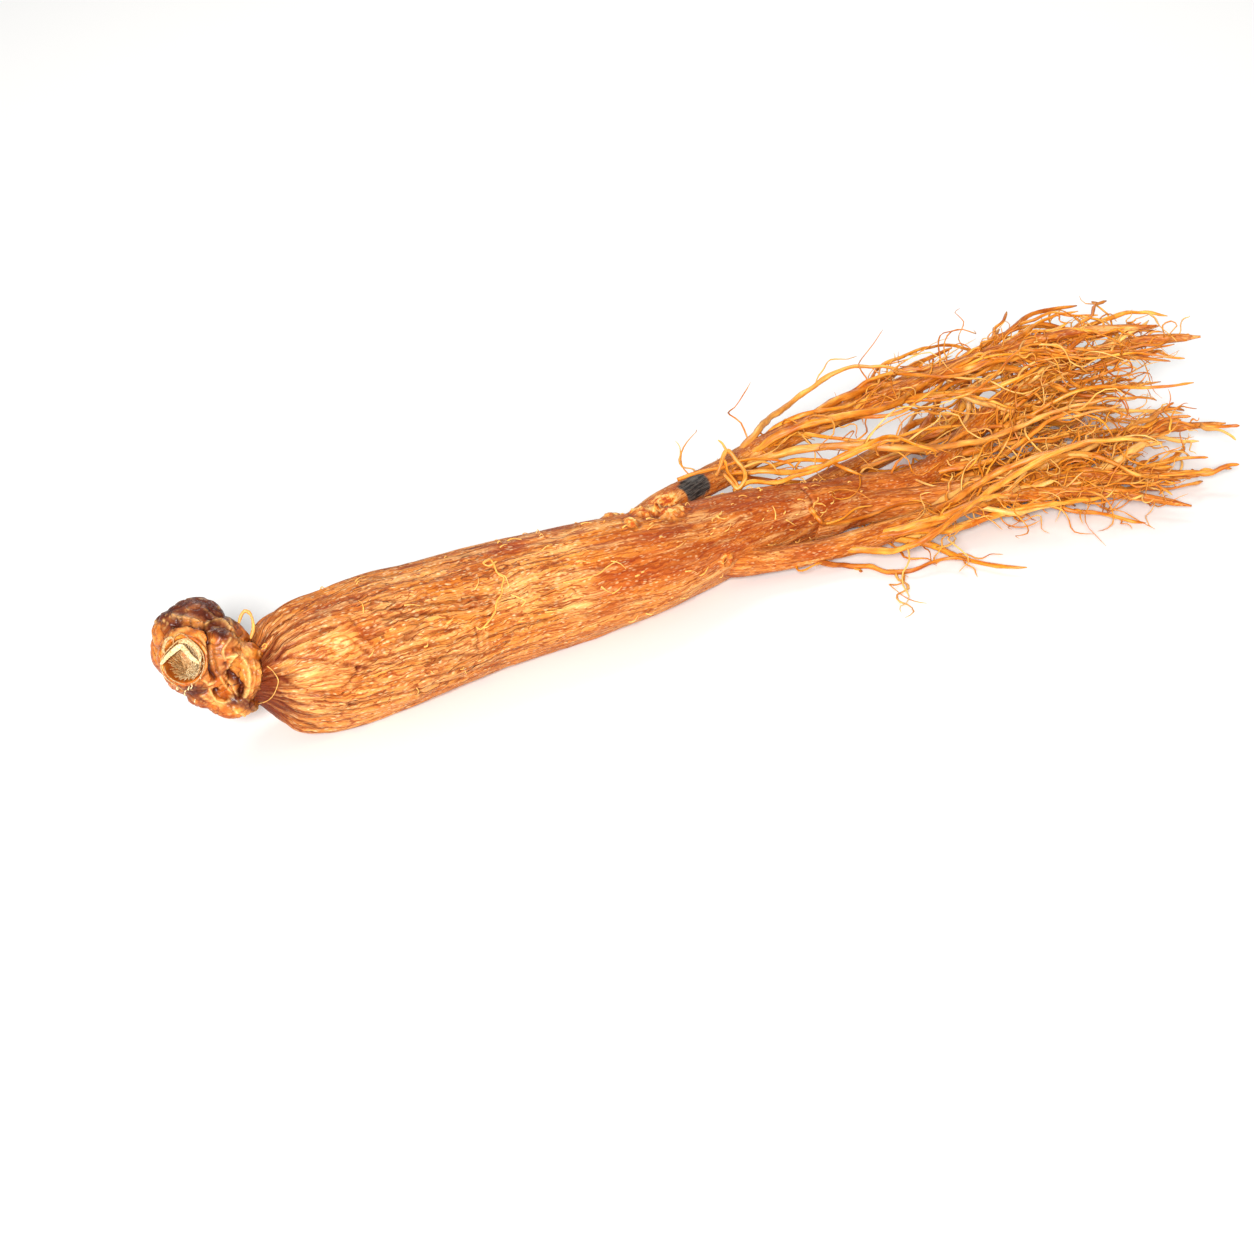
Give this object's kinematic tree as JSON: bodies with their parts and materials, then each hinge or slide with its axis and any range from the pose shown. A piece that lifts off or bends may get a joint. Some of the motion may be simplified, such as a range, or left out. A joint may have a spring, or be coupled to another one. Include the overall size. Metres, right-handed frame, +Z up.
{
  "type": "ginseng root",
  "caption": "Dried red ginseng root lying on its belly: a knobbly head with a stem scar, a long wrinkled tapering main root, and branch roots that fan out into fine rootlets.",
  "frame": {"origin": "middle of the small flat spot of the belly that the root rests on", "axes": "+X along the root from the head to the tail, +Z up from the surface it lies on"},
  "size_m": [0.2219, 0.0644, 0.0269],
  "materials": {
    "root_skin": "dry wrinkled orange-brown skin with pale raised folds, satin",
    "head_skin": "waxy amber to dark brown, slightly glossy",
    "rootlet_skin": "golden brown, satin",
    "scar_fibre": "pale cream dry fibre, matt"
  },
  "bodies": {
    "root": {"ginseng_root": "root_skin"}
  },
  "joints": []
}
